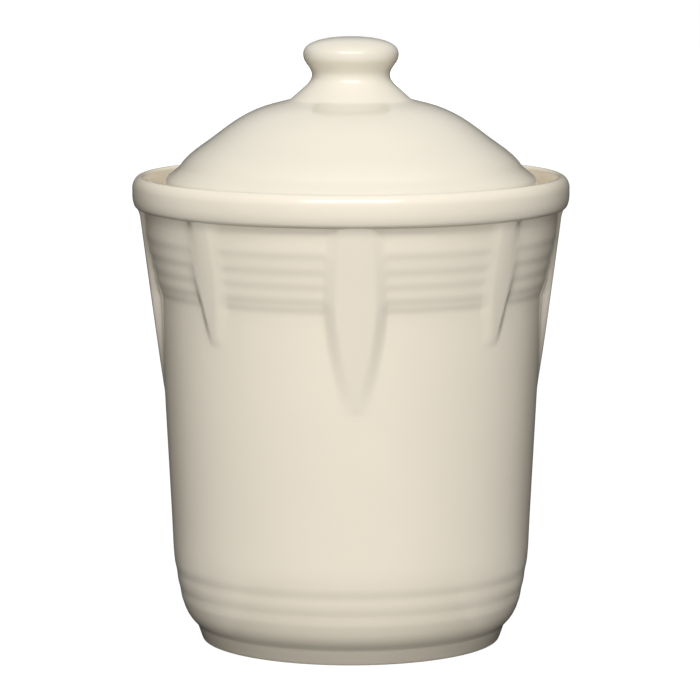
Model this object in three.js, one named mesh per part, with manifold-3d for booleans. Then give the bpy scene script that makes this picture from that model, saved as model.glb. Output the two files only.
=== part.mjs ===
// Kitchen canister: a glazed stoneware jar with eight tapering ribs, a domed lid with its knob,
// and the soft ring on the lid's skirt that seals it in the jar's bore.
// Millimetres, +Z up, origin at the middle of the foot's underside. One long rib faces -Y.
import * as THREE from 'three';
import { mergeVertices } from 'three/addons/utils/BufferGeometryUtils.js';
import Module from 'manifold-3d';

const wasm = await Module();
wasm.setup();

// Counts
const turnSegments = 40;
const ribCount = 8;
const ribRows = 9;

// Jar, foot and floor
const footRadius = 63.5;
const footRingWidth = 7.5;
const footEdge = 0.6;
const footRecess = 3.2;
const footHeight = 7.4;
const footFlare = 2.5;
const turnBowShare = 0.09;
const floorThickness = 6.0;
const floorFillet = 9.0;

// Jar, body
const wall = 5.0;
const lowRadius = 71.3;
const lowHeight = 16.6;
const bellyRadius = 75.45;
const bellyHeight = 44.4;
const bandRadius = 80.4;
const bandStart = 141.6;
const bandHeight = 41.6;

// Jar, rings: grooves cut between soft pads, below the belly and in the band under the rim
const lowRingPitch = 7.6;
const lowRingCount = 2;
const ringDepth = 0.55;
const lowRingRise = 0.5;
const bandGrooveShares = [0.173, 0.269, 0.413, 0.56, 0.733];
const padTopShare = 0.12;
const padFootShare = 0.62;

// Flare of the band: shares of its height, and how much of the flare is reached there
const flareHeightShares = [0, 0.163, 0.267, 0.719, 1];
const flareShares = [0, 0.1, 0.275, 0.78, 1];

// Jar, rim
const rimRadius = 91.65;
const rimHeight = 13.6;
const rimOverhang = 3.9;
const rimLowerWidth = 3.15;
const rimLowerHeight = 4.4;
const rimUpperWidth = 3.45;
const rimUpperHeight = 5.0;
const rimWall = 5.15;
const rimInnerRound = 1.5;
const recessDepth = 9.4;
const recessFillet = 1.6;
const boreEdge = 0.8;
const boreLength = 10.0;
const ledgeRunout = 9.0;

// Jar, ribs: long ones on the four axes and short ones between them
const ribWall = 4.6;
const ribBury = 2.0;
const ribCrown = 0.35;
const ribTipWidth = 0.4;
const ribTopShare = 0.8;
const ribWidestShare = 0.62;
const ribRoundPower = 1.6;
const longRib = { faceHalf: 8.6, length: 75.5, setback: 2.55 };
const shortRib = { faceHalf: 4.9, length: 52.5, setback: 2.95 };

// Lid: radii of its outline and their rises above the seat. Bow shares swell a stretch and dip
// shares hollow it, by that share of the stretch's length at its middle.
const seatClearance = 0.3;
const lidMargin = 7.5;
const seatWidth = 6.0;
const lidEdgeRound = 3.6;
const brimEdgeRise = 5.0;
const brimTopDraw = 1.4;
const brimTopRise = 8.4;
const brimWidth = 7.0;
const brimRootRise = 12.9;
const brimTopBowShare = 0.12;
const brimDipShare = 0.02;
const domeFootRadius = 66.5;
const domeFootRise = 19.2;
const domeFootBowShare = 0.07;
const domeBreakRadius = 50.0;
const domeBreakRise = 31.2;
const domeDipShare = 0.02;
const domeBowShare = 0.043;
const shoulderRadius = 31.5;
const shoulderRise = 39.2;
const flareRadius = 25.2;
const flareRise = 41.1;
const neckFootRadius = 19.0;
const neckFootRise = 47.0;
const neckRadius = 16.6;
const neckRise = 51.8;
const neckDipShare = 0.1;
const knobUnderRadius = 18.3;
const knobUnderRise = 55.4;
const knobRadius = 20.4;
const knobRise = 60.2;
const knobTopRise = 67.5;
const knobBowShare = 0.086;
const lidWall = 6.0;
const skirtClearance = 2.5;
const skirtWall = 6.0;
const skirtLength = 11.0;
const skirtEdge = 1.2;
const knobHollowRadius = 9.0;
const knobHollowRise = 52.0;
const knobHollowRound = 3.0;

// Seal ring
const sealClearance = 0.3;
const sealHeight = 5.4;
const sealDrop = 3.0;
const grooveDepth = 2.4;
const sealBackWidth = 2.6;
const lipTipHeight = 0.8;

// Derived heights and radii that the pieces share
const rimUnder = bandStart + bandHeight;
const rimTop = rimUnder + rimHeight;
const panelTopRadius = rimRadius - rimOverhang;
const recessRadius = rimRadius - rimWall;
const ledgeHeight = rimTop - recessDepth;
const lidRadius = recessRadius - lidMargin;
const boreRadius = lidRadius - seatWidth;
const boreEnd = ledgeHeight - boreLength;
const lidSeat = ledgeHeight + seatClearance;
const skirtRadius = boreRadius - skirtClearance;
const grooveRadius = skirtRadius - grooveDepth;
const grooveTop = lidSeat - sealDrop;
const grooveHeight = sealHeight + 2 * sealClearance;

const glaze = new THREE.MeshStandardMaterial({ color: 0xe7e0cd, roughness: 0.16, metalness: 0 });
const silicone = new THREE.MeshStandardMaterial({ color: 0xe4e1d8, roughness: 0.55, metalness: 0 });

const point = (radius, height) => new THREE.Vector2(radius, height);

// Points of a round stretch from one point to the next, bowed to its right by a share of its length.
function bow(from, to, bowShare, steps) {
  const along = to.clone().sub(from);
  const right = point(along.y, -along.x);
  const points = [];
  for (let i = 1; i <= steps; i++) {
    const t = i / steps;
    const lift = 4 * bowShare * t * (1 - t);
    points.push(from.clone().addScaledVector(along, t).addScaledVector(right, lift));
  }
  return points;
}

// Quarter of an ellipse that leaves the start along one axis and reaches the end along the other.
function quarter(from, to, steps, leavesAcross) {
  const points = [];
  for (let i = 1; i <= steps; i++) {
    const angle = (Math.PI / 2) * (i / steps);
    const fast = Math.sin(angle);
    const slow = 1 - Math.cos(angle);
    const shareX = leavesAcross ? fast : slow;
    const shareY = leavesAcross ? slow : fast;
    points.push(point(from.x + (to.x - from.x) * shareX, from.y + (to.y - from.y) * shareY));
  }
  return points;
}

// A turned piece, from an outline that starts and ends on the axis or closes on itself.
function turned(outline) {
  const geometry = new THREE.LatheGeometry(outline, turnSegments);
  geometry.rotateX(Math.PI / 2);
  return geometry;
}

function toSolid(geometry) {
  const bare = geometry.clone();
  bare.deleteAttribute('normal');
  bare.deleteAttribute('uv');
  const merged = mergeVertices(bare);
  const vertProperties = Float32Array.from(merged.attributes.position.array);
  const triVerts = Uint32Array.from(merged.index.array);
  return new wasm.Manifold(new wasm.Mesh({ numProp: 3, vertProperties, triVerts }));
}

function toGeometry(solid) {
  const mesh = solid.getMesh();
  const geometry = new THREE.BufferGeometry();
  geometry.setAttribute('position', new THREE.BufferAttribute(mesh.vertProperties, 3));
  geometry.setIndex(new THREE.BufferAttribute(mesh.triVerts, 1));
  geometry.computeVertexNormals();
  return geometry;
}

// Outside radius of the jar between its ribs: a straight taper, then the flare of the ringed band.
function bodyRadius(height) {
  if (height <= bandStart) {
    const share = (height - bellyHeight) / (bandStart - bellyHeight);
    return bellyRadius + (bandRadius - bellyRadius) * share;
  }
  const share = Math.min(1, (height - bandStart) / bandHeight);
  const next = flareHeightShares.findIndex((stop) => share <= stop);
  const from = flareHeightShares[next - 1];
  const along = (share - from) / (flareHeightShares[next] - from);
  const flared = flareShares[next - 1] + (flareShares[next] - flareShares[next - 1]) * along;
  return bandRadius + (panelTopRadius - bandRadius) * flared;
}

// Outside radius of the rounded lower end, from the foot's crease to the belly.
function lowerRadius(height) {
  const share = (bellyHeight - height) / (bellyHeight - lowHeight);
  return bellyRadius - (bellyRadius - lowRadius) * share ** 2;
}

// One pad between two grooves: it stands out just above the lower groove and just below the upper one.
function pad(lowerGroove, upperGroove, radiusAt) {
  const height = upperGroove - lowerGroove;
  const foot = lowerGroove + height * (1 - padFootShare);
  const top = upperGroove - height * padTopShare;
  return [
    point(radiusAt(lowerGroove) - ringDepth, lowerGroove),
    point(radiusAt(foot), foot),
    point(radiusAt(top), top),
  ];
}

function jarOutline() {
  const footInner = footRadius - footRingWidth;
  const footTop = point(footRadius + footFlare, footHeight);
  const lowEdge = point(lowRadius, lowHeight);
  const outline = [
    point(0, footRecess),
    point(footInner - footRecess / 2, footRecess),
    point(footInner, 0),
    point(footRadius - footEdge, 0),
    point(footRadius, footEdge),
    footTop,
    ...bow(footTop, lowEdge, turnBowShare, 3),
  ];

  // Low rings, from the turn-under to the belly
  for (let ring = 0; ring < lowRingCount; ring++) {
    const groove = lowHeight + lowRingRise + ring * lowRingPitch;
    outline.push(...pad(groove, groove + lowRingPitch, lowerRadius));
  }
  const lastGroove = lowHeight + lowRingRise + lowRingCount * lowRingPitch;
  const lastPad = lastGroove + lowRingPitch * (1 - padFootShare);
  outline.push(point(lowerRadius(lastGroove) - ringDepth, lastGroove));
  outline.push(point(lowerRadius(lastPad), lastPad));
  outline.push(point(bellyRadius, bellyHeight));
  outline.push(point(bandRadius, bandStart));

  // Ringed band under the rim
  const grooves = bandGrooveShares.map((share) => bandStart + bandHeight * share);
  for (let ring = 0; ring < grooves.length; ring++) {
    outline.push(...pad(grooves[ring], grooves[ring + 1] ?? rimUnder, bodyRadius));
  }

  // Rolled rim
  const rimCrest = point(rimRadius - rimUpperWidth, rimTop);
  const rimFlankFoot = point(rimRadius, rimUnder + rimLowerHeight);
  outline.push(point(panelTopRadius, rimUnder));
  outline.push(point(rimRadius - rimLowerWidth, rimUnder));
  outline.push(...quarter(outline.at(-1), rimFlankFoot, 3, true));
  outline.push(point(rimRadius, rimTop - rimUpperHeight));
  outline.push(...quarter(outline.at(-1), rimCrest, 3, false));
  outline.push(...quarter(outline.at(-1), point(recessRadius, rimTop - rimInnerRound), 2, true));

  // Recess, ledge and bore
  outline.push(point(recessRadius, ledgeHeight + recessFillet));
  outline.push(point(recessRadius - recessFillet, ledgeHeight));
  outline.push(point(boreRadius + boreEdge, ledgeHeight));
  outline.push(point(boreRadius, ledgeHeight - boreEdge));
  outline.push(point(boreRadius, boreEnd));

  // Inside wall and floor
  const floor = footRecess + floorThickness;
  const innerLow = lowRadius - wall;
  const innerTop = boreEnd - ledgeRunout;
  outline.push(point(bodyRadius(innerTop) - wall, innerTop));
  outline.push(point(bandRadius - wall, bandStart));
  outline.push(point(bellyRadius - wall, bellyHeight));
  outline.push(point(innerLow, floor + floorFillet));
  outline.push(...quarter(outline.at(-1), point(innerLow - floorFillet, floor), 4, false));
  outline.push(point(0, floor));
  return outline;
}

// Half-width of a rib's face at a share of its height above the tip.
function ribFaceHalf(share, faceHalf) {
  if (share < ribWidestShare) {
    const rise = 1 - (1 - share / ribWidestShare) ** ribRoundPower;
    return ribTipWidth + (faceHalf - ribTipWidth) * rise;
  }
  const narrowing = (share - ribWidestShare) / (1 - ribWidestShare);
  return faceHalf * (1 - (1 - ribTopShare) * narrowing);
}

// One rib: a wedge that leans out from its tip on the body to the underside of the rim.
// Each row runs across the rib, from one buried edge over the crowned face to the other.
function ribGeometry({ faceHalf, length, setback }) {
  const top = rimUnder + rimLowerHeight / 2;
  const tip = rimUnder - length;
  const tipRadius = bodyRadius(tip);
  const topRadius = rimRadius - setback;
  const positions = [];
  for (let row = 0; row <= ribRows; row++) {
    const height = tip + (top - tip) * (row / ribRows);
    const share = Math.min(1, (height - tip) / length);
    const face = ribFaceHalf(share, faceHalf);
    const faceRadius = tipRadius + (topRadius - tipRadius) * share;
    const footRow = Math.min(bodyRadius(height), faceRadius);
    const buried = footRow - ribBury;
    const across = [
      [-face - ribWall, buried],
      [-face - ribWall, footRow - ribCrown],
      [-face, faceRadius],
      [0, faceRadius + ribCrown * share],
      [face, faceRadius],
      [face + ribWall, footRow - ribCrown],
      [face + ribWall, buried],
    ];
    for (const [offset, radius] of across) {
      const angle = offset / faceRadius - Math.PI / 2;
      positions.push(radius * Math.cos(angle), radius * Math.sin(angle), height);
    }
  }
  const rowLength = positions.length / 3 / (ribRows + 1);
  const index = [];
  for (let row = 0; row < ribRows; row++) {
    for (let i = 0; i < rowLength; i++) {
      const next = (i + 1) % rowLength;
      const a = row * rowLength + i;
      const b = row * rowLength + next;
      index.push(a, b, b + rowLength, a, b + rowLength, a + rowLength);
    }
  }
  const lastRow = ribRows * rowLength;
  for (let i = 1; i < rowLength - 1; i++) {
    index.push(0, i + 1, i);
    index.push(lastRow, lastRow + i, lastRow + i + 1);
  }
  const geometry = new THREE.BufferGeometry();
  geometry.setAttribute('position', new THREE.Float32BufferAttribute(positions, 3));
  geometry.setIndex(index);
  return geometry;
}

function jarGeometry() {
  let solid = toSolid(turned(jarOutline()));
  for (let rib = 0; rib < ribCount; rib++) {
    const geometry = ribGeometry(rib % 2 === 0 ? longRib : shortRib);
    geometry.rotateZ((2 * Math.PI * rib) / ribCount);
    solid = solid.add(toSolid(geometry));
  }
  return toGeometry(solid);
}

function lidOutline() {
  const above = (radius, rise) => point(radius, lidSeat + rise);
  const skirtInner = skirtRadius - skirtWall;
  const skirtEnd = lidSeat - skirtLength;
  const hollowTop = above(knobHollowRadius - knobHollowRound, knobHollowRise);
  const hollowSide = above(knobHollowRadius, knobHollowRise - knobHollowRound);
  const innerFlare = above(knobHollowRadius, flareRise - lidWall / 2);
  const innerShoulder = above(shoulderRadius - lidWall, shoulderRise - lidWall);
  const innerBreak = above(domeBreakRadius - lidWall / 2, domeBreakRise - lidWall);
  const innerFoot = above(skirtInner, domeFootRise - lidWall);
  const edgeFoot = above(lidRadius - lidEdgeRound, 0);
  const edge = above(lidRadius, brimEdgeRise);
  const brimTop = above(lidRadius - brimTopDraw, brimTopRise);
  const brimRoot = above(lidRadius - brimWidth, brimRootRise);
  const domeFoot = above(domeFootRadius, domeFootRise);
  const domeBreak = above(domeBreakRadius, domeBreakRise);
  const shoulder = above(shoulderRadius, shoulderRise);
  const flare = above(flareRadius, flareRise);
  const neckFoot = above(neckFootRadius, neckFootRise);
  const neck = above(neckRadius, neckRise);
  const knobUnder = above(knobUnderRadius, knobUnderRise);
  const knobEdge = above(knobRadius, knobRise);
  return [
    // Underside, from the hollow of the knob out to the skirt
    above(0, knobHollowRise),
    hollowTop,
    ...quarter(hollowTop, hollowSide, 2, true),
    innerFlare,
    innerShoulder,
    innerBreak,
    innerFoot,
    // Skirt with the seal's groove, and the seat
    point(skirtInner, skirtEnd + skirtEdge),
    point(skirtInner + skirtEdge, skirtEnd),
    point(skirtRadius - skirtEdge, skirtEnd),
    point(skirtRadius, skirtEnd + skirtEdge),
    point(skirtRadius, grooveTop - grooveHeight),
    point(grooveRadius, grooveTop - grooveHeight),
    point(grooveRadius, grooveTop),
    point(skirtRadius, grooveTop),
    point(skirtRadius, lidSeat),
    // Brim, dome and knob
    edgeFoot,
    ...quarter(edgeFoot, above(lidRadius, lidEdgeRound), 3, true),
    edge,
    ...bow(edge, brimTop, brimTopBowShare, 2),
    ...bow(brimTop, brimRoot, -brimDipShare, 2),
    ...bow(brimRoot, domeFoot, domeFootBowShare, 3),
    ...bow(domeFoot, domeBreak, -domeDipShare, 2),
    ...bow(domeBreak, shoulder, domeBowShare, 3),
    flare,
    neckFoot,
    ...bow(neckFoot, neck, -neckDipShare, 2),
    ...bow(neck, knobUnder, -knobBowShare, 2),
    ...bow(knobUnder, knobEdge, knobBowShare, 2),
    ...quarter(knobEdge, above(0, knobTopRise), 5, false),
  ];
}

function sealOutline() {
  const back = grooveRadius + sealClearance;
  const front = back + sealBackWidth;
  const lipRadius = boreRadius - sealClearance;
  const base = grooveTop - sealClearance - sealHeight;
  const lipPitch = sealHeight / 2;
  const outline = [point(back, base), point(front, base)];
  for (let lip = 0; lip < 2; lip++) {
    const lipBase = base + lip * lipPitch;
    outline.push(point(lipRadius, lipBase + lipPitch / 2));
    outline.push(point(lipRadius, lipBase + lipPitch / 2 + lipTipHeight));
    outline.push(point(front, lipBase + lipPitch));
  }
  outline.push(point(back, base + sealHeight));
  outline.push(point(back, base));
  return outline;
}

function piece(name, geometry, material) {
  const mesh = new THREE.Mesh(geometry, material);
  mesh.name = name;
  return mesh;
}

const canister = new THREE.Group();
canister.add(piece('jar', jarGeometry(), glaze));
canister.add(piece('lid', turned(lidOutline()), glaze));
canister.add(piece('seal_ring', turned(sealOutline()), silicone));

export default canister;
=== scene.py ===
"""Kitchen canister: a ribbed stoneware jar, its domed lid and the lid's soft seal, glazed ivory.

Outlines are tables of (radius, height) in millimetres. A third number is the length over which that
corner is rounded. Everything placed in the scene is in metres.
"""

import math

import bmesh
import bpy
import numpy as np
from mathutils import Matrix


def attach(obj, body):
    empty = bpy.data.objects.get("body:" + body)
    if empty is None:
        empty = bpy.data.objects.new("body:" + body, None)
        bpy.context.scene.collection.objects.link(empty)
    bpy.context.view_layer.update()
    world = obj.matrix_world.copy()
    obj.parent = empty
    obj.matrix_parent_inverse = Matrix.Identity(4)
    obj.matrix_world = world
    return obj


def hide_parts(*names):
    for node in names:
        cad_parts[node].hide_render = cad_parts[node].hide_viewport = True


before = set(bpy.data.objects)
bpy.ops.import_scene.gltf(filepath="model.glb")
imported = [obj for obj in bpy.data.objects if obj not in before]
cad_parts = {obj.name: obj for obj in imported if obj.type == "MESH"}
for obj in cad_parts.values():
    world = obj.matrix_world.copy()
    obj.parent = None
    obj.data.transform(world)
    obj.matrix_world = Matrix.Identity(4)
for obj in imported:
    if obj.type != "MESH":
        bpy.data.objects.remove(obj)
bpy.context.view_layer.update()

MM = 0.001

# A radius under this is a pole on the axis
POLE = 1e-6

# Foot and rounded lower end of the jar, in millimetres
FOOT = [
    (0, 3.2),
    (53.0, 3.2, 1.5),
    (56.0, 0, 0.8),
    (62.9, 0, 0.6),
    (63.45, 1.2),
    (64.1, 3.0),
    (64.8, 5.0),
    (65.3, 6.8),
    (67.15, 8.4),
    (68.5, 10.1),
    (69.7, 12.0),
    (70.6, 14.0),
    (71.3, 16.0),
]
LOW_EDGE = (71.35, 15.6)
LOW_BOW = 1.63
LOW_ROWS = (18.0, 43.0)
LOW_ROW_PITCH = 0.8
LOW_STEPS = (23.4, 30.7)
LOW_STEP_RISE = 0.42

# Body and ringed band, in millimetres
BELLY = (75.45, 44.4)
PLAIN_ROWS = (60, 80)
BAND_START = 141.6
BAND_RADIUS = 80.43
BAND_ROWS_FROM = 138.0
BAND_ROW_PITCH = 0.6
BAND_STEPS = (148.4, 152.7, 158.5, 164.6, 171.5)
BAND_STEP_RISE = 0.4

# Rim, recess and inside, in millimetres
RIM_UNDER = 183.2
RIM_RADIUS = 91.85
RIM_TOP = 196.8
RECESS_RADIUS = 86.5
LEDGE = 187.4
BORE_RADIUS = 73.0
BORE_END = 177.4
BORE_FLARE_END = 168.4
WALL = 5.0
FLOOR = 9.2
FLOOR_RADIUS = 66.6
BAND_FLARE = [
    (BAND_RADIUS, BAND_START),
    (81.15, 148.4),
    (82.45, 152.7),
    (86.15, 171.5),
    (87.2, RIM_UNDER),
]
RIM_FOOT = (88.5, RIM_UNDER)
RIM_FLANK = [
    (89.8, 183.4),
    (90.65, 184.05),
    (91.2, 185.1),
    (91.55, 186.5),
    (91.8, 188.0),
    (RIM_RADIUS, 191.4),
]
RIM_CREST = (88.2, RIM_TOP)
RIM_INNER_EDGE = (RECESS_RADIUS, RIM_TOP - 1.6)

# Ribs, in millimetres
RIB_COUNT = 8
LONG_RIB = {"length": 78.5, "half": 9.6, "top": 88.6, "ring_gap": 11.6}
SHORT_RIB = {"length": 52.5, "half": 5.9, "top": 88.5, "ring_gap": 6.3}
LOWEST_RIBBED = 90
LONG_RIB_ROWS_FROM = 100

# Lid and seal, in millimetres
SEAT_GAP = 0.3
SEAT_RADIUS = 74.8
BRIM_RADIUS = 79.0
BRIM_ROUNDING = 4.0
KNOB_HOLLOW = 9
SKIRT_INNER = 64.5
SKIRT_OUTER = 70.5
GROOVE_RADIUS = 68.1
LID_TOP = [
    (78.95, 192.7), (78.6, 194.6), (77.1, 196.5), (75.5, 197.7), (73.4, 199.2), (71.8, 200.6),
    (70.9, 202.2), (68.7, 204.6), (65.8, 207.1), (62.3, 209.6), (58.7, 212.1), (55.5, 214.6),
    (52.2, 217.1), (48.7, 219.6), (44.7, 222.0), (39.6, 224.5), (35.2, 226.0), (30.7, 227.2),
    (27.2, 228.0), (25.3, 228.6), (24.2, 229.6), (22.9, 230.9), (19.9, 233.4), (17.8, 235.4),
    (16.6, 237.2), (16.25, 239.0), (16.7, 240.9), (18.1, 242.9), (19.6, 244.9), (20.2, 247.2),
    (19.8, 249.5), (18.1, 251.5), (14.8, 253.1), (10.3, 254.2), (5.0, 254.75), (0, 254.8),
]  # fmt: skip
LID_COLUMNS = 288
SEAL_COLUMNS = 216

# Colours of glaze, clay and silicone
IVORY = (0.82, 0.745, 0.612)
# Pooled glaze, painted darker and warmer still as the shade in creases
POOLED_AND_SHADED_IVORY = (0.61, 0.505, 0.37)
THIN_IVORY = (0.85, 0.77, 0.65)
CLAY = (0.56, 0.50, 0.40, 1)
SILICONE = (0.74, 0.71, 0.64, 1)

# Painted shade: the lid's glaze is made darker and greyer than the jar's, and the jar's glaze darker
# towards the foot by this share, between these heights (millimetres)
LID_PAINTED_SHADE = (0.93, 0.948, 0.968)
FOOT_PAINTED_SHADE = 0.735
FOOT_PAINTED_SHADE_HEIGHTS = (3.0, 12.0)

# Bare clay, in metres: between these heights, and on the lid only beyond the radius
JAR_BARE = (-0.001, 0.0007)
LID_BARE = (0.186, 0.1881)
LID_BARE_BEYOND = 0.0704

# Light: the world's strength on the object, and how bright the floor is to the camera and to the glaze
AMBIENT = 0.28
FLOOR_SEEN = 0.965
FLOOR_MIRRORED = 0.92
FLOOR_SIZE = 6.0
FOOT_SHADE = (0.06, 0.26)
AIM_HEIGHT = 0.14

# Name, azimuth and elevation in degrees, distance, (width, height), watts, mirrored by the glaze
LAMPS = (
    ("Key softbox", -1.3, 46, 4.0, (3.1, 1.33), 81.0, True),
    ("Top diffuser", -1.3, 52, 4.0, (4.6, 1.4), 26.0, False),
    ("Front diffuser", -1.3, 10, 4.5, (4.6, 1.2), 100.0, False),
    ("Back diffuser", 178.5, 8, 4.0, (3.0, 1.2), 120.0, False),
)

# How far the card goes round, in degrees from the back, and its rows: radius, height, angle up to which
# it is dark, angle from which it is pale, and that pale tone
CARD_REACH = 125
CARD_COLUMNS = 65
CARD_ROWS = (
    (0.064, 0.0005, 110, 125, 0.0),
    (0.08, 0.0005, 100, 125, 0.4),
    (0.1, 0.0005, 80, 125, 0.92),
    (0.17, 0.0005, 45, 100, 0.96),
    (0.42, 0.0005, 45, 95, 1.0),
    (0.42, 0.25, 45, 95, 1.0),
    (0.42, 0.55, -1, 0, 1.0),
)

# Camera, in metres and degrees; its focal length and shift are in pixels of the 700 pixel frame
CAMERA_DISTANCE = 1.75
CAMERA_HEIGHT = 0.357
CAMERA_PITCH = 7.63
CAMERA_TURN = -1.3
FOCAL_PIXELS = 4180.3
SHIFT_PIXELS = -0.9
FRAME_PIXELS = 700


def mix(a, b, share):
    return a + (b - a) * share


def placed(name, data):
    """A new object of the given data, in the scene."""
    piece = bpy.data.objects.new(name, data)
    bpy.context.scene.collection.objects.link(piece)
    return piece


def mesh_from(shape, name):
    """A mesh of a bmesh shape, which is freed."""
    mesh = bpy.data.meshes.new(name)
    shape.to_mesh(mesh)
    shape.free()
    return mesh


def mark_points(mesh, name, values):
    """Gives the mesh an attribute with one number for each of its points."""
    data = mesh.attributes.new(name, "FLOAT", "POINT").data
    data.foreach_set("value", np.asarray(values).astype(np.float32))


# Outlines


def quarter(start, end, leaves_across, steps=8):
    """Quarter of an ellipse from start to end. It leaves start along the radius, or along the height."""
    points = []
    for step in range(steps + 1):
        angle = 0.5 * math.pi * step / steps
        fast, slow = math.sin(angle), 1 - math.cos(angle)
        across, up = (fast, slow) if leaves_across else (slow, fast)
        points.append((mix(start[0], end[0], across), mix(start[1], end[1], up)))
    return points


def spline(corners, steps=10):
    """Cubic B-spline over the corners. A corner with a third number is rounded over that length."""
    spots = [np.array(corner[:2]) for corner in corners]
    control = [spots[0]] * 2
    for i, corner in enumerate(corners):
        here = spots[i]
        if len(corner) == 2:
            control.append(here)
            continue
        sides = []
        for other in (spots[i - 1], spots[i + 1]):
            away = other - here
            reach = min(corner[2], 0.5 * np.linalg.norm(away))
            sides.append(here + away * reach / np.linalg.norm(away))
        control += [sides[0], sides[0], here, sides[1], sides[1]]
    control += [spots[-1]] * 2
    points = []
    for a, b, c, d in zip(control, control[1:], control[2:], control[3:]):
        for step in range(steps):
            t = step / steps
            weights = ((1 - t) ** 3, 3 * t**3 - 6 * t**2 + 4, 3 * (t + t**2 - t**3) + 1, t**3)
            points.append(sum(w * p for w, p in zip(weights, (a, b, c, d))) / 6)
    points.append(spots[-1])
    return points


def thinned(points, longest, sharpest=math.radians(7), closest=0.02):
    """The outline without the points that it can spare.

    A point stays where the outline has turned by more than sharpest or run further than longest(point).
    """
    points = [np.array(point, float) for point in points]
    distinct = [points[0]]
    for point in points[1:]:
        if np.linalg.norm(point - distinct[-1]) > closest:
            distinct.append(point)
    kept = [distinct[0]]
    turned_by = 0.0
    for before, here, after in zip(distinct, distinct[1:], distinct[2:]):
        first, second = here - before, after - here
        cosine = first @ second / np.linalg.norm(first) / np.linalg.norm(second)
        turned_by += math.acos(max(-1.0, min(1.0, cosine)))
        if turned_by > sharpest or np.linalg.norm(after - kept[-1]) > longest(here):
            kept.append(here)
            turned_by = 0.0
    kept.append(distinct[-1])
    return np.array(kept)


def filled(points, longest):
    """The outline with long stretches cut into even pieces."""
    result = [points[0]]
    for before, here in zip(points, points[1:]):
        pieces = max(1, math.ceil(np.linalg.norm(here - before) / longest((before + here) / 2)))
        result += [mix(before, here, piece / pieces) for piece in range(1, pieces + 1)]
    return np.array(result)


def panel_radius(height):
    """Radius of the panels between the ribs: a straight taper, then the flare of the ringed band."""
    if height < BAND_START:
        return mix(BELLY[0], BAND_RADIUS, (height - BELLY[1]) / (BAND_START - BELLY[1]))
    radii, heights = zip(*BAND_FLARE)
    return float(np.interp(height, heights, radii))


def low_radius(height):
    """Radius of the rounded lower end, above the foot."""
    share = (BELLY[1] - height) / (BELLY[1] - LOW_EDGE[1])
    return BELLY[0] - (BELLY[0] - LOW_EDGE[0]) * share**LOW_BOW


def stepped(radius_at, steps, rise, below, above, lean):
    """A slope with soft steps in it: each leans out by the rise, and the stretches between stand back.

    A step reaches from below its height to above it. With a lean under 1 it is steepest near its foot.
    """
    places = [steps[0] - 4 * below, *steps, steps[-1] + 4 * above]
    counts = [0, *(i + 0.5 for i in range(len(steps))), len(steps)]

    def radius(height):
        leaned = 0.0
        for step in steps:
            share = min(1.0, max(0.0, (height - step + below) / (below + above))) ** lean
            leaned += share * share * (3 - 2 * share)
        return radius_at(height) + rise * (leaned - np.interp(height, places, counts))

    return radius


band_radius = stepped(panel_radius, BAND_STEPS, BAND_STEP_RISE, below=1.8, above=2.1, lean=1.0)
low_ring_radius = stepped(low_radius, LOW_STEPS, LOW_STEP_RISE, below=1.3, above=3.4, lean=0.65)


def rows_of(radius_at, heights):
    return [(radius_at(height), height) for height in heights]


def jar_outline():
    """The whole section of the jar, in three stretches: underside and outside, rim, and inside."""
    outside = spline(
        [
            *FOOT,
            *rows_of(low_ring_radius, np.arange(*LOW_ROWS, LOW_ROW_PITCH)),
            BELLY,
            *rows_of(panel_radius, PLAIN_ROWS),
            *rows_of(band_radius, np.arange(BAND_ROWS_FROM, RIM_UNDER - 0.5, BAND_ROW_PITCH)),
            (*BAND_FLARE[-1], 0.35),
            RIM_FOOT,
        ]
    )
    rim = [
        *spline([RIM_FOOT, *RIM_FLANK]),
        *quarter(RIM_FLANK[-1], RIM_CREST, False),
        *quarter(RIM_CREST, RIM_INNER_EDGE, True),
    ]
    inside = spline(
        [
            rim[-1],
            (RECESS_RADIUS, LEDGE, 2.2),
            (BORE_RADIUS, LEDGE, 1.0),
            (BORE_RADIUS, BORE_END, 2.0),
            (panel_radius(BORE_FLARE_END) - WALL, BORE_FLARE_END, 6.0),
            (BAND_RADIUS - WALL, BAND_START, 12.0),
            (BELLY[0] - WALL, BELLY[1], 12.0),
            (FLOOR_RADIUS, FLOOR, 11.0),
            (0, FLOOR),
        ]
    )
    return outside, rim, inside


# Turned meshes


def turned(name, outline, angles, closed=False):
    """A mesh turned from an outline in millimetres, with a column at each angle."""
    shape = bmesh.new()
    rows = []
    for radius, height in outline:
        if radius < POLE:
            spots = [(0, 0, height * MM)]
        else:
            reach = radius * MM
            spots = [(reach * math.cos(a), reach * math.sin(a), height * MM) for a in angles]
        rows.append([shape.verts.new(spot) for spot in spots])
    pairs = list(zip(rows, rows[1:]))
    if closed:
        pairs.append((rows[-1], rows[0]))
    for lower, upper in pairs:
        for i in range(len(angles)):
            j = (i + 1) % len(angles)
            corners = [
                lower[i % len(lower)],
                lower[j % len(lower)],
                upper[j % len(upper)],
                upper[i % len(upper)],
            ]
            shape.faces.new(dict.fromkeys(corners))
    bmesh.ops.recalc_face_normals(shape, faces=shape.faces)
    for face in shape.faces:
        face.smooth = True
    return placed(name, mesh_from(shape, name))


def even_angles(count):
    return [2 * math.pi * i / count for i in range(count)]


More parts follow.
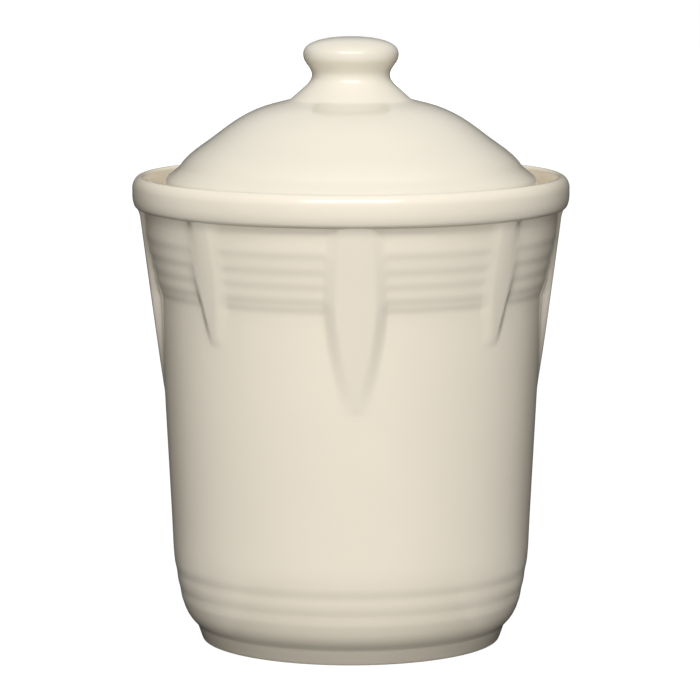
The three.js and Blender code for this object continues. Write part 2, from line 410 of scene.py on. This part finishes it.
def ribbed_angles(fine, coarse, beside=4.0, samples=7200):
    """Angles round the jar, close together at the ribs and just beside them, far apart between."""
    places = np.linspace(0, 2 * math.pi, samples, endpoint=False)
    pitch = 2 * math.pi / RIB_COUNT
    local = np.abs((places + 0.5 * math.pi + 0.5 * pitch) % pitch - 0.5 * pitch)
    number = np.round((places + 0.5 * math.pi) / pitch).astype(int) % 2
    reach = np.where(number == 0, LONG_RIB["ring_gap"], SHORT_RIB["ring_gap"]) + beside
    spacing = np.where(local * RIM_RADIUS < reach, fine, coarse)
    travelled = np.concatenate([[0.0], np.cumsum(RIM_RADIUS / spacing)])
    count = round(travelled[-1] * (2 * math.pi / samples))
    marks = np.linspace(0, travelled[-1], count, endpoint=False)
    return np.interp(marks, travelled, np.append(places, 2 * math.pi))


def evaluated(piece):
    """Turns a piece's modifiers into plain mesh."""
    graph = bpy.context.evaluated_depsgraph_get()
    mesh = bpy.data.meshes.new_from_object(piece.evaluated_get(graph))
    piece.modifiers.clear()
    piece.data = mesh


def mark_relief(piece, reach=0.0016, rounds=3, inside_share=0.3):
    """Attribute "relief": 1 in tight hollows where glaze pools and painted shade goes, -1 on edges where
    it thins, 0 between.

    It is evened out over its neighbours for some rounds, and weaker on faces that look at the axis.
    """
    mesh = piece.data
    count = len(mesh.vertices)
    spots = np.empty(count * 3, np.float32)
    mesh.vertices.foreach_get("co", spots)
    spots = spots.reshape(-1, 3).astype(float)
    normals = np.empty(count * 3, np.float32)
    mesh.vertex_normals.foreach_get("vector", normals)
    normals = normals.reshape(-1, 3)
    ends = np.empty(len(mesh.edges) * 2, np.int32)
    mesh.edges.foreach_get("vertices", ends)
    ends = ends.reshape(-1, 2)
    a, b = ends[:, 0], ends[:, 1]
    along = spots[b] - spots[a]
    length = np.maximum(np.linalg.norm(along, axis=1), 1e-6)
    bend = (2 * (along * (normals[a] - normals[b])).sum(1)) / length**2 * 0.5
    total = np.zeros(count)
    weight = np.zeros(count)
    for side in (a, b):
        np.add.at(total, side, bend * length)
        np.add.at(weight, side, length)
    hollow = total / weight
    for _ in range(rounds):
        total = hollow * 2
        weight = np.full(count, 2.0)
        for side, other in ((a, b), (b, a)):
            np.add.at(total, side, hollow[other])
            np.add.at(weight, side, 1.0)
        hollow = total / weight
    faces_axis = (spots[:, :2] * normals[:, :2]).sum(1) < 0
    hollow[faces_axis] *= inside_share
    mark_points(mesh, "relief", np.clip(hollow * reach, -1, 1))


# Formulas made of nodes


class Term:
    """A node's output that takes part in formulas: each operation adds a Math node to its tree."""

    def __init__(self, socket):
        self.socket = socket
        self.tree = socket.id_data

    def math(self, operation, *others):
        node = self.tree.nodes.new("ShaderNodeMath")
        node.operation = operation
        for slot, value in zip(node.inputs, (self, *others)):
            feed(slot, value)
        return Term(node.outputs[0])

    def __add__(self, other):
        return self.math("ADD", other)

    def __sub__(self, other):
        return self.math("SUBTRACT", other)

    def __mul__(self, other):
        return self.math("MULTIPLY", other)

    def __truediv__(self, other):
        return self.math("DIVIDE", other)

    def __neg__(self):
        return self.math("MULTIPLY", -1.0)

    def to(self, other, share):
        """Mixes this term with another."""
        return self + (Term.of(other, self.tree) - self) * share

    def fade(self, start, end):
        """1 up to start and 0 from end on, with a soft change between."""
        node = self.tree.nodes.new("ShaderNodeMapRange")
        node.interpolation_type = "SMOOTHSTEP"
        ends = {"Value": self, "From Min": start, "From Max": end, "To Min": 1.0, "To Max": 0.0}
        for name, value in ends.items():
            feed(node.inputs[name], value)
        return Term(node.outputs["Result"])

    @staticmethod
    def of(value, tree):
        if isinstance(value, Term):
            return value
        node = tree.nodes.new("ShaderNodeValue")
        node.outputs[0].default_value = value
        return Term(node.outputs[0])


def feed(slot, value):
    """Puts a number in a socket, or links a term or an output to it."""
    if isinstance(value, Term):
        value = value.socket
    if isinstance(value, bpy.types.NodeSocket):
        slot.id_data.links.new(value, slot)
    else:
        slot.default_value = value


def axes_of(tree, vector):
    """The X, Y and Z of a vector output."""
    node = tree.nodes.new("ShaderNodeSeparateXYZ")
    feed(node.inputs[0], vector)
    return [Term(node.outputs[axis]) for axis in "XYZ"]


def object_place(tree):
    return tree.nodes.new("ShaderNodeTexCoord").outputs["Object"]


def scaled(tree, colour, share):
    """A colour output times a share."""
    node = tree.nodes.new("ShaderNodeVectorMath")
    node.operation = "SCALE"
    feed(node.inputs[0], colour)
    feed(node.inputs["Scale"], share)
    return node.outputs[0]


def attribute_term(tree, name):
    """A shader's reading of an attribute that is one number for each point."""
    node = tree.nodes.new("ShaderNodeAttribute")
    node.attribute_name = name
    return Term(node.outputs["Fac"])


def new_group(name, kind, inputs, outputs):
    """A node group with named inputs (kind, default) and outputs, and its two end nodes."""
    tree = bpy.data.node_groups.new(name, kind)
    for label, (socket_type, default) in inputs.items():
        socket = tree.interface.new_socket(label, in_out="INPUT", socket_type=socket_type)
        if default is not None:
            socket.default_value = default
    for label, socket_type in outputs.items():
        tree.interface.new_socket(label, in_out="OUTPUT", socket_type=socket_type)
    return tree, tree.nodes.new("NodeGroupInput"), tree.nodes.new("NodeGroupOutput")


# The jar and its ribs


def rib_tree():
    """Geometry Nodes: raises tapering ribs from a turned jar and stops its rings short of them."""
    number = "NodeSocketFloat"
    rib_sizes = ("Length", "Half Width", "Tip Radius", "Top Radius", "Ring Gap")
    inputs = {
        "Geometry": ("NodeSocketGeometry", None),
        "Rib Count": (number, RIB_COUNT),
        "Top Height": (number, RIM_UNDER * MM),
        "Side Start": (number, 2.2 * MM),
        "Side Width": (number, 7.0 * MM),
        "Outer Side Start": (number, 0.5 * MM),
        "Outer Side Width": (number, 4.6 * MM),
        "Upper Outer Side Width": (number, 7.0 * MM),
        "Outer Side Changes From": (number, 0.3),
        "Outer Side Changes To": (number, 0.75),
        "Fillet": (number, 0.8 * MM),
        "Fillet Height": (number, 4.0 * MM),
        "Crown": (number, 0.45 * MM),
        "Face Blend": (number, 0.5 * MM),
        "Ring End Before": (number, 0.5 * MM),
        "Ring End After": (number, 2.4 * MM),
        "Top Width Share": (number, 0.8),
        "Widest Share": (number, 0.6),
        "Tip Share": (number, 0.052),
        "Lift Bow": (number, 0.97),
        "Swell Bow": (number, 1.7),
        **{f"{kind} {size}": (number, 0.0) for kind in ("Long", "Short") for size in rib_sizes},
        "Glaze": ("NodeSocketMaterial", None),
    }
    outputs = {"Geometry": "NodeSocketGeometry"}
    tree, start, end = new_group("Tapering ribs", "GeometryNodeTree", inputs, outputs)
    nodes, links = tree.nodes, tree.links
    given = {name: Term(start.outputs[name]) for name in inputs if inputs[name][0] == number}
    one = Term.of(1.0, tree)

    def attribute(name):
        node = nodes.new("GeometryNodeInputNamedAttribute")
        node.data_type = "FLOAT"
        node.inputs["Name"].default_value = name
        return Term(node.outputs["Attribute"])

    x, y, height = axes_of(tree, nodes.new("GeometryNodeInputPosition").outputs[0])
    radius = (x * x + y * y).math("SQRT")

    # Which rib is nearest, and how far round the jar it is
    pitch = Term.of(2 * math.pi, tree) / given["Rib Count"]
    angle = x.math("ARCTAN2", -y)
    nearest = (angle / pitch).math("ROUND")
    short = nearest.math("ABSOLUTE").math("MODULO", 2.0)
    length, half, tip_radius, top_radius, ring_gap = (
        given[f"Long {size}"].to(given[f"Short {size}"], short) for size in rib_sizes
    )

    # The face's radius, from the rib's tip to its top, with a fillet under the rim
    share = (height - given["Top Height"]) / length + 1.0
    lift_share = share.math("MAXIMUM", 0.0)
    bowed = lift_share.math("POWER", given["Lift Bow"])
    below_top = ((given["Top Height"] - height) / given["Fillet Height"]).math("MINIMUM", 1.0)
    fillet = (one - below_top).math("POWER", 2.0) * given["Fillet"]
    face_radius = tip_radius.to(top_radius, bowed) + fillet
    across = (angle - nearest * pitch) * face_radius
    aside = across.math("ABSOLUTE")

    # 1 on the flank of a short rib that looks to the jar's left or right
    outer = (across * (nearest * pitch * 2.0).math("SINE")).math("GREATER_THAN", 0.01 * MM)

    # The face swells from its tip to its widest place, then narrows towards the rim
    rising = (share / given["Widest Share"]).math("MINIMUM", 1.0).math("MAXIMUM", 0.0)
    swell = one - (one - rising).math("POWER", given["Swell Bow"])
    past = (share - given["Widest Share"]) / (one - given["Widest Share"])
    narrowing = (one - given["Top Width Share"]) * past.math("MAXIMUM", 0.0)
    face_half = half * swell * (one - narrowing)

    # How far the face stands proud of the panel, and how its sides and its tip fall away
    crown = (one - (aside / half).math("MINIMUM", 1.0).math("POWER", 2.0)) * given["Crown"]
    ring_end = aside.fade(ring_gap - given["Ring End Before"], ring_gap + given["Ring End After"])
    panel = radius + attribute("ring_depth") * ring_end
    proud = (face_radius + crown * lift_share - panel).math("SMOOTH_MAX", 0.0, given["Face Blend"])
    side_start = face_half - given["Side Start"].to(given["Outer Side Start"], outer)
    side_start = side_start.math("MAXIMUM", 0.0)
    upper = share.fade(given["Outer Side Changes From"], given["Outer Side Changes To"])
    outer_width = given["Upper Outer Side Width"].to(given["Outer Side Width"], upper)
    side = aside.fade(side_start, side_start + given["Side Width"].to(outer_width, outer))
    tip = share.fade(0.0, given["Tip Share"]).math("SUBTRACT", 1.0).math("ABSOLUTE")
    raised = panel + proud * side * tip
    growth = one.to(raised / radius.math("MAXIMUM", MM), attribute("ribbed"))

    moved = nodes.new("ShaderNodeCombineXYZ")
    for slot, value in zip(moved.inputs, (x * growth, y * growth, height)):
        feed(slot, value)
    shaped = nodes.new("GeometryNodeSetPosition")
    links.new(start.outputs["Geometry"], shaped.inputs["Geometry"])
    links.new(moved.outputs[0], shaped.inputs["Position"])
    real = nodes.new("GeometryNodeRealizeInstances")
    links.new(shaped.outputs["Geometry"], real.inputs["Geometry"])
    glazed = nodes.new("GeometryNodeSetMaterial")
    links.new(real.outputs["Geometry"], glazed.inputs["Geometry"])
    links.new(start.outputs["Glaze"], glazed.inputs["Material"])
    links.new(glazed.outputs["Geometry"], end.inputs["Geometry"])
    return tree


def make_jar(glaze, fine=0.75, coarse=3.6, rim_rows=6):
    """The jar, with columns fine apart at the ribs. Its ribs reach this many rows into the rim."""
    outside, rim, inside = jar_outline()

    def longest(point):
        height = point[1]
        if LONG_RIB_ROWS_FROM < height < BAND_START:
            return 1.5
        ringed = LOW_ROWS[0] - 1 < height < LOW_ROWS[1] or BAND_START <= height < RIM_UNDER
        return 0.8 if ringed else 12.0

    outer = filled(thinned(outside, longest), longest)
    inner = thinned(rim + inside, lambda point: 25.0)
    outline = np.vstack([outer, inner[1:]])
    angles = ribbed_angles(fine, coarse)
    piece = turned("jar_ware", outline, angles)

    # Rows that the ribs may raise, and how far each lies behind the plain panel
    on_outside = np.arange(len(outline)) < len(outer) + rim_rows
    ribbed = on_outside & (outline[:, 1] > LOWEST_RIBBED)
    depth = [
        panel_radius(height) - radius if rib and BAND_ROWS_FROM < height < RIM_UNDER - 1 else 0.0
        for (radius, height), rib in zip(outline, ribbed)
    ]
    row_sizes = [1 if radius < POLE else len(angles) for radius, _ in outline]
    row_marks = {"ribbed": ribbed.astype(np.float32), "ring_depth": np.array(depth, np.float32) * MM}
    for name, values in row_marks.items():
        mark_points(piece.data, name, np.repeat(values, row_sizes))

    tree = rib_tree()
    modifier = piece.modifiers.new("Tapering ribs", "NODES")
    modifier.node_group = tree
    sizes = {"Glaze": glaze}
    for kind, rib in (("Long", LONG_RIB), ("Short", SHORT_RIB)):
        sizes[f"{kind} Length"] = rib["length"] * MM
        sizes[f"{kind} Half Width"] = rib["half"] * MM
        sizes[f"{kind} Tip Radius"] = panel_radius(RIM_UNDER - rib["length"]) * MM
        sizes[f"{kind} Top Radius"] = rib["top"] * MM
        sizes[f"{kind} Ring Gap"] = rib["ring_gap"] * MM
    for socket in tree.interface.items_tree:
        if socket.in_out == "INPUT" and socket.name in sizes:
            modifier[socket.identifier] = sizes[socket.name]
    evaluated(piece)
    for name in row_marks:
        piece.data.attributes.remove(piece.data.attributes[name])
    return piece


# Lid and seal


def lid_outline():
    """The section of the lid, from the knob's hollow round the skirt and the brim to its top."""
    seat = LEDGE + SEAT_GAP
    under = spline(
        [
            (0, seat + 52),
            (KNOB_HOLLOW, seat + 52, 3.0),
            (KNOB_HOLLOW, seat + 38.2, 3.0),
            (25.5, seat + 33.2, 4.0),
            (47, seat + 25.2, 8.0),
            (SKIRT_INNER, seat + 13.2, 5.0),
            (SKIRT_INNER, seat - 11, 1.6),
            (SKIRT_OUTER, seat - 11, 1.6),
            (SKIRT_OUTER, seat - 9, 0.3),
            (GROOVE_RADIUS, seat - 9, 0.3),
            (GROOVE_RADIUS, seat - 3, 0.3),
            (SKIRT_OUTER, seat - 3, 0.3),
            (SKIRT_OUTER, seat, 0.4),
            (SEAT_RADIUS, seat),
        ]
    )
    edge = quarter((SEAT_RADIUS, seat), (BRIM_RADIUS, seat + BRIM_ROUNDING), True)
    top = spline(edge[-1:] + LID_TOP)
    return under + edge + top


def make_lid(glaze):
    outline = thinned(lid_outline(), lambda point: 4.0, math.radians(4.5))
    piece = turned("lid_ware", outline, even_angles(LID_COLUMNS))
    piece.data.materials.append(glaze)
    return piece


def make_seal(silicone):
    """Soft ring in the skirt's groove, with two lips that lean on the bore."""
    back, front, lip = 68.4, 71.0, 72.7
    base, height = 179.0, 5.4
    corners = [(back, base + height / 2), (back, base, 0.3), (front, base, 0.4)]
    for start in (base, base + height / 2):
        corners += [(lip, start + 1.35, 0.25), (lip, start + 2.15, 0.25), (front, start + 2.65, 0.3)]
    corners += [(back, base + height, 0.3), corners[0]]
    outline = thinned(spline(corners), lambda point: 1.5, math.radians(12))[:-1]
    piece = turned("seal_lips", outline, even_angles(SEAL_COLUMNS), closed=True)
    piece.data.materials.append(silicone)
    return piece


# Materials

FINISH_OUTPUTS = {
    "Colour": "NodeSocketColor",
    "Roughness": "NodeSocketFloat",
    "Height": "NodeSocketFloat",
}


def glaze_tone_group():
    """Finish of a glaze that pools in hollows, with painted shade there too, thins on edges and drifts
    in tone.
    """
    inputs = {
        "Colour": ("NodeSocketColor", (1, 1, 1, 1)),
        "Pooled And Shaded Colour": ("NodeSocketColor", (1, 1, 1, 1)),
        "Thin Colour": ("NodeSocketColor", (1, 1, 1, 1)),
        "Pooling And Shade": ("NodeSocketFloat", 1.0),
        "Drift": ("NodeSocketFloat", 0.04),
        "Roughness": ("NodeSocketFloat", 0.12),
    }
    tree, start, end = new_group("Glaze tone", "ShaderNodeTree", inputs, FINISH_OUTPUTS)
    nodes, links = tree.nodes, tree.links
    place = object_place(tree)

    def noise(scale, detail):
        node = nodes.new("ShaderNodeTexNoise")
        links.new(place, node.inputs["Vector"])
        node.inputs["Scale"].default_value = scale
        node.inputs["Detail"].default_value = detail
        return Term(node.outputs["Fac"])

    def blend(colour, other, share):
        node = nodes.new("ShaderNodeMix")
        node.data_type = "RGBA"
        feed(node.inputs["Factor"], share)
        feed(node.inputs["A"], colour)
        feed(node.inputs["B"], other)
        return next(socket for socket in node.outputs if socket.type == "RGBA")

    relief = attribute_term(tree, "relief")
    pooling_and_shade = Term(start.outputs["Pooling And Shade"])
    hollow = (relief * pooling_and_shade).math("MAXIMUM", 0.0).math("MINIMUM", 1.0).math("POWER", 1.5)
    edge = (-relief * pooling_and_shade).math("MAXIMUM", 0.0).math("MINIMUM", 1.0)
    cloud = noise(16.0, 3.0) - 0.5
    streak = noise(55.0, 2.0) - 0.5
    # Painted shade: hollows get the pooled colour, darker than glaze pooling alone, for the shade in
    # creases.
    colour = blend(start.outputs["Colour"], start.outputs["Pooled And Shaded Colour"], hollow)
    colour = blend(colour, start.outputs["Thin Colour"], edge)
    drift = (cloud * 2.0 + streak * 0.7) * Term(start.outputs["Drift"]) + 1.0
    feed(end.inputs["Colour"], scaled(tree, colour, drift))
    feed(end.inputs["Roughness"], Term(start.outputs["Roughness"]) + streak * 0.05 + edge * 0.06)
    feed(end.inputs["Height"], noise(210.0, 1.0) * 0.35 + noise(38.0, 1.0))
    return tree


def bare_clay_group():
    """Finish of unglazed stoneware, with fine grog."""
    inputs = {"Colour": ("NodeSocketColor", (1, 1, 1, 1)), "Grog": ("NodeSocketFloat", 0.25)}
    tree, start, end = new_group("Bare clay", "ShaderNodeTree", inputs, FINISH_OUTPUTS)
    grain = tree.nodes.new("ShaderNodeTexNoise")
    feed(grain.inputs["Vector"], object_place(tree))
    grain.inputs["Scale"].default_value = 1400.0
    grain.inputs["Detail"].default_value = 3.0
    level = Term(grain.outputs["Fac"]) - 0.5
    shade = level * Term(start.outputs["Grog"]) * 2.0 + 1.0
    feed(end.inputs["Colour"], scaled(tree, start.outputs["Colour"], shade))
    feed(end.inputs["Roughness"], level * 0.3 + 0.82)
    feed(end.inputs["Height"], Term(grain.outputs["Fac"]))
    return tree


def new_material(name):
    material = bpy.data.materials.new(name)
    material.use_nodes = True
    return material, material.node_tree, material.node_tree.nodes["Principled BSDF"]


def add_group(tree, group, values):
    """Places a node group in a material, with its own values."""
    node = tree.nodes.new("ShaderNodeGroup")
    node.node_tree = group
    for label, value in values.items():
        node.inputs[label].default_value = value
    return node


def stoneware(name, groups, bare, beyond=0.0, tone=(1, 1, 1), foot_painted_shade=1.0, pooling_and_shade=1.0):
    """Glossy ivory glaze, with bare clay between two heights at radii beyond a given one.

    Towards a foot the glaze colour is painted darker by the foot's painted shade, which stands in for
    the dim light there.
    """
    material, tree, shader = new_material(name)
    nodes, links = tree.nodes, tree.links
    values = {"Pooling And Shade": pooling_and_shade, "Drift": 0.03, "Roughness": 0.14}
    colours = {"Colour": IVORY, "Pooled And Shaded Colour": POOLED_AND_SHADED_IVORY, "Thin Colour": THIN_IVORY}
    # A tone below 1 paints the colours darker: painted shade, as on the lid.
    for label, colour in colours.items():
        values[label] = [*(channel * share for channel, share in zip(colour, tone)), 1]
    glaze = add_group(tree, groups["glaze"], values)
    clay = add_group(tree, groups["clay"], {"Colour": CLAY, "Grog": 0.2})

    x, y, height = axes_of(tree, object_place(tree))
    radius = (x * x + y * y).math("SQRT")
    between = height.math("LESS_THAN", bare[1]) * height.math("GREATER_THAN", bare[0])
    is_bare = between * radius.math("GREATER_THAN", beyond)
    # Painted shade: the glaze colour is darkened towards the foot, standing in for the dim light there.
    near_foot = height.fade(*(level * MM for level in FOOT_PAINTED_SHADE_HEIGHTS))
    foot_shaded_colour = scaled(tree, glaze.outputs["Colour"], Term.of(1.0, tree).to(foot_painted_shade, near_foot))

    def choose(kind, glazed, unglazed):
        node = nodes.new("ShaderNodeMix")
        node.data_type = kind
        feed(node.inputs["Factor"], is_bare)
        sockets = [socket for socket in node.inputs if socket.name in "AB" and socket.enabled]
        feed(sockets[0], glazed)
        feed(sockets[1], unglazed)
        return next(socket for socket in node.outputs if socket.enabled)

    roughness = choose("FLOAT", glaze.outputs["Roughness"], clay.outputs["Roughness"])
    feed(shader.inputs["Base Color"], choose("RGBA", foot_shaded_colour, clay.outputs["Colour"]))
    feed(shader.inputs["Roughness"], roughness)
    bump = nodes.new("ShaderNodeBump")
    bump.inputs["Strength"].default_value = 0.35
    bump.inputs["Distance"].default_value = 0.08 * MM
    feed(bump.inputs["Height"], choose("FLOAT", glaze.outputs["Height"], clay.outputs["Height"]))
    links.new(bump.outputs["Normal"], shader.inputs["Normal"])
    shader.inputs["IOR"].default_value = 1.5
    return material


def silicone_material(groups):
    material, tree, shader = new_material("Seal silicone")
    clay = add_group(tree, groups["clay"], {"Colour": SILICONE, "Grog": 0.03})
    feed(shader.inputs["Base Color"], clay.outputs["Colour"])
    shader.inputs["Roughness"].default_value = 0.5
    return material


# Stage, light and camera


def light_path_background(nodes):
    """1 where the camera, a reflection or a transmission looks at the stage, 0 for its light."""
    rays = nodes.new("ShaderNodeLightPath")
    seen = Term(rays.outputs["Is Camera Ray"])
    for kind in ("Is Glossy Ray", "Is Transmission Ray"):
        seen = seen.math("MAXIMUM", Term(rays.outputs[kind]))
    return seen


def make_world():
    world = bpy.data.worlds.new("Studio")
    bpy.context.scene.world = world
    world.use_nodes = True
    nodes = world.node_tree.nodes
    background = nodes["Background"]
    background.inputs["Color"].default_value = (1, 1, 1, 1)
    feed(background.inputs["Strength"], light_path_background(nodes) * (1.0 - AMBIENT) + AMBIENT)


def stage_material(name, shade, roughness=None):
    """A matt material of one grey whose brightness comes from its emission."""
    material, tree, shader = new_material(name)
    shader.inputs["Base Color"].default_value = (shade, shade, shade, 1)
    if roughness is not None:
        shader.inputs["Roughness"].default_value = roughness
    shader.inputs["Specular IOR Level"].default_value = 0.0
    shader.inputs["Emission Color"].default_value = (1, 1, 1, 1)
    return material, tree, shader.inputs["Emission Strength"]


def make_floor():
    """A pale floor: near white to the camera, and darker round the foot where the glaze mirrors it."""
    shape = bmesh.new()
    bmesh.ops.create_grid(shape, x_segments=1, y_segments=1, size=FLOOR_SIZE)
    floor = placed("floor", mesh_from(shape, "floor"))
    material, tree, strength = stage_material("Pale floor", 0.1, roughness=0.9)
    x, y, _ = axes_of(tree, object_place(tree))
    # Painted shade: for reflections the floor glows less round the foot, standing in for the foot's
    # shadow there.
    foot_shade = (x * x + y * y).math("SQRT").fade(*FOOT_SHADE)
    camera_ray = Term(tree.nodes.new("ShaderNodeLightPath").outputs["Is Camera Ray"])
    reflected = light_path_background(tree.nodes) - camera_ray
    feed(strength, camera_ray * FLOOR_SEEN + reflected * (-foot_shade + 1.0) * FLOOR_MIRRORED)
    floor.data.materials.append(material)


def softbox(name, azimuth, elevation, distance, size, watts, mirrored):
    """A rectangular lamp that looks at the canister. Azimuth 0 is in front, towards -Y."""
    lamp = bpy.data.lights.new(name, "AREA")
    lamp.shape = "RECTANGLE"
    lamp.size, lamp.size_y = size
    lamp.energy = watts
    holder = placed(name, lamp)
    turn, rise = math.radians(azimuth), math.radians(elevation)
    holder.location = (
        distance * math.sin(turn) * math.cos(rise),
        -distance * math.cos(turn) * math.cos(rise),
        AIM_HEIGHT + distance * math.sin(rise),
    )
    holder.rotation_euler = (0.5 * math.pi - rise, 0, turn)
    holder.visible_camera = False
    holder.visible_glossy = mirrored


def make_card(name):
    """A dark card bent round the back of the canister, with an apron on the floor.

    Only reflections see it, and it draws the dark outlines of the glaze.
    """
    shape = bmesh.new()
    angles = np.linspace(-CARD_REACH, CARD_REACH, CARD_COLUMNS)
    turns = np.radians(angles)
    rows = []
    tones = []
    for radius, level, dark, pale, tone in CARD_ROWS:
        spots = [(radius * math.sin(turn), radius * math.cos(turn), level) for turn in turns]
        rows.append([shape.verts.new(spot) for spot in spots])
        share = np.clip((np.abs(angles) - dark) / (pale - dark), 0, 1)
        tones.append(share * share * (3 - 2 * share) * tone)
    for lower, upper in zip(rows, rows[1:]):
        for i in range(CARD_COLUMNS - 1):
            shape.faces.new([lower[i], lower[i + 1], upper[i + 1], upper[i]])
    card = placed(name, mesh_from(shape, name))
    mark_points(card.data, "pale", np.concatenate(tones))
    card.visible_camera = False
    card.visible_diffuse = False
    card.visible_shadow = False
    material, tree, strength = stage_material("Dark card", 0.02)
    feed(strength, attribute_term(tree, "pale"))
    card.data.materials.append(material)


def make_camera():
    data = bpy.data.cameras.new("Camera")
    data.sensor_width = 36.0
    data.lens = FOCAL_PIXELS / FRAME_PIXELS * data.sensor_width
    data.shift_x = SHIFT_PIXELS / FRAME_PIXELS
    camera = placed("Camera", data)
    turn = math.radians(CAMERA_TURN)
    camera.location = (
        CAMERA_DISTANCE * math.sin(turn),
        -CAMERA_DISTANCE * math.cos(turn),
        CAMERA_HEIGHT,
    )
    camera.rotation_euler = (math.radians(90 - CAMERA_PITCH), 0, turn)
    bpy.context.scene.camera = camera


groups = {"glaze": glaze_tone_group(), "clay": bare_clay_group()}
jar_glaze = stoneware("Jar glaze", groups, JAR_BARE, foot_painted_shade=FOOT_PAINTED_SHADE)
# Painted shade: the lid's glaze is the jar's, made darker and greyer so that its upward faces catch less
# light.
lid_glaze = stoneware("Lid glaze", groups, LID_BARE, beyond=LID_BARE_BEYOND, tone=LID_PAINTED_SHADE, pooling_and_shade=0.5)
silicone = silicone_material(groups)

jar = make_jar(jar_glaze)
lid = make_lid(lid_glaze)
seal = make_seal(silicone)
for piece in (jar, lid):
    mark_relief(piece)

for piece, body, node, slot in (
    (jar, "jar", "jar", "jar_glaze"),
    (lid, "lid", "lid", "lid_glaze"),
    (seal, "seal_ring", "seal_ring", "silicone"),
):
    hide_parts(node)
    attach(piece, body)

make_camera()
make_world()
make_floor()
for lamp in LAMPS:
    softbox(*lamp)
make_card("Back card")

bpy.context.scene.view_settings.view_transform = "Standard"
